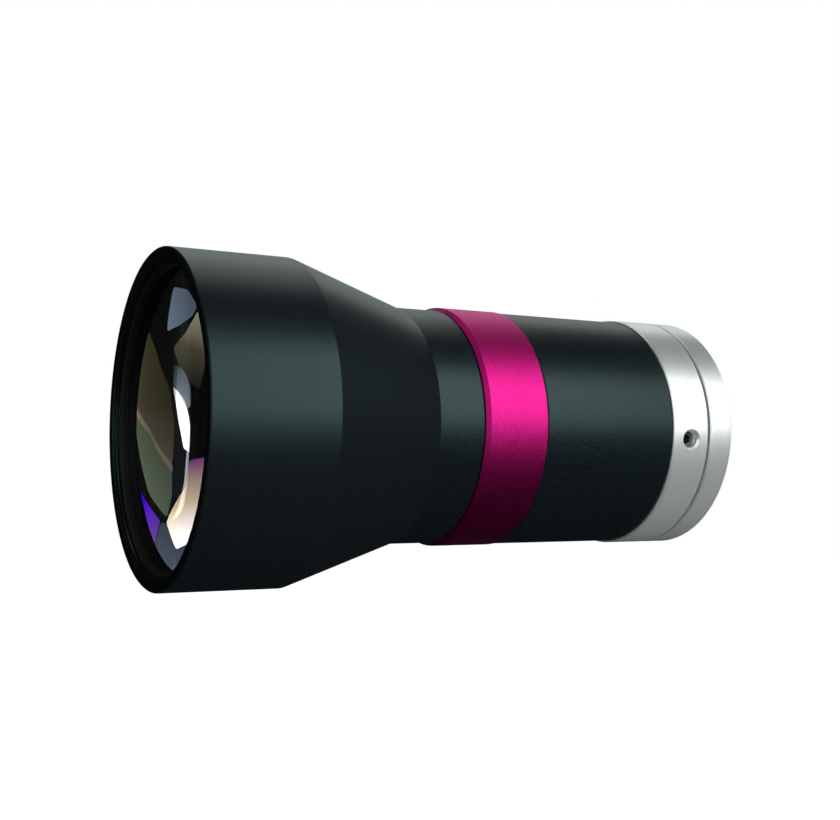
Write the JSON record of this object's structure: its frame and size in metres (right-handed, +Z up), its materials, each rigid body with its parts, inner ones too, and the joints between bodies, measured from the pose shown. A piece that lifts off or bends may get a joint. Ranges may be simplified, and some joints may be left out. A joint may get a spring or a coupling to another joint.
{
  "type": "bi-telecentric lens",
  "caption": "Bi-telecentric machine-vision lens: wide front barrel with convex glass, cone, neck, magenta ring, black rear barrel and bright rear mount with a male camera thread.",
  "frame": {"origin": "on the optical axis in the plane of the camera flange", "axes": "+X along the optical axis towards the camera, -X towards the object side and the front glass, +Z up; the first set screw is at -Y"},
  "size_m": [0.097, 0.05, 0.05],
  "materials": {
    "satin_black": "smooth satin black anodised",
    "blasted_black": "bead-blasted black anodised",
    "matt_black": "matt black anodised",
    "magenta_anodised": "bead-blasted magenta anodised",
    "bright_metal": "turned, clear",
    "screw_steel": "dark steel",
    "coated_glass": "polished, anti-reflection coated"
  },
  "bodies": {
    "root": {"front_housing": "satin_black", "front_retaining_ring": "matt_black", "front_crown_lens": "coated_glass", "front_flint_lens": "coated_glass", "front_spacer": "matt_black", "front_meniscus_lens": "coated_glass", "neck_barrel": "blasted_black", "accent_ring": "magenta_anodised", "aperture_stop": "matt_black", "stop_retaining_ring": "matt_black", "rear_barrel": "blasted_black", "rear_lens_cell": "matt_black", "cell_lock_ring": "matt_black", "rear_meniscus_lens": "coated_glass", "rear_crown_lens": "coated_glass", "rear_flint_lens": "coated_glass", "rear_positive_lens": "coated_glass", "rear_spacer_front": "matt_black", "rear_spacer_back": "matt_black", "rear_retaining_ring": "matt_black", "mount_ring": "bright_metal", "camera_mount": "bright_metal", "mount_set_screws": "screw_steel"}
  },
  "joints": []
}
